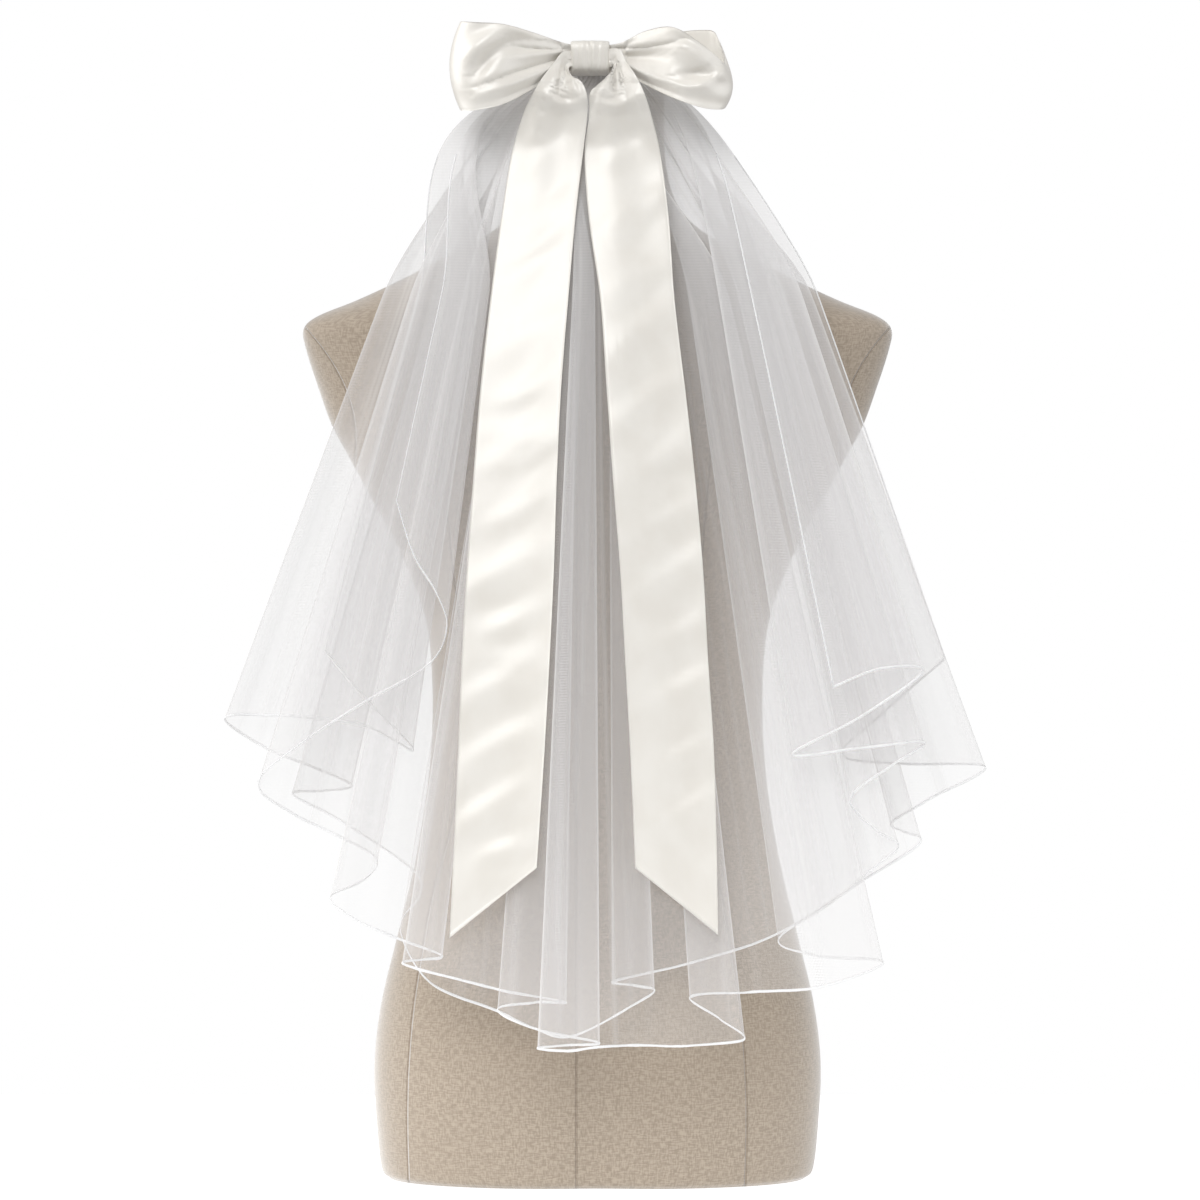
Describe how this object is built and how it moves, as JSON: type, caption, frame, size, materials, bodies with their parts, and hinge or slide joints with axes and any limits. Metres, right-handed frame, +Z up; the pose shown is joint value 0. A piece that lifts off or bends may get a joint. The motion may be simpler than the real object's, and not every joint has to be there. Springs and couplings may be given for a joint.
{
  "type": "bridal veil on dress form",
  "caption": "Tiered tulle bridal veil with a satin bow and long ribbon tails at its gathered top, worn over the back of a limbless linen dress form.",
  "frame": {"origin": "middle of the dress form's flat base, on the floor", "axes": "+Z up, -Y out of the veil's outer side, towards the viewer of the picture, +X to that viewer's right"},
  "size_m": [0.5207, 0.3322, 0.7988],
  "materials": {
    "linen": "matte plain weave linen",
    "band_satin": "soft satin",
    "tulle": "soft sheer white net",
    "satin": "ivory satin with a soft sheen"
  },
  "bodies": {
    "root": {"dress_form": "linen", "gather_band": "band_satin", "veil_far": "tulle", "veil_near": "tulle", "bow_loop_left": "satin", "bow_loop_right": "satin", "knot_band": "satin", "tail_left": "satin", "tail_right": "satin"}
  },
  "joints": []
}
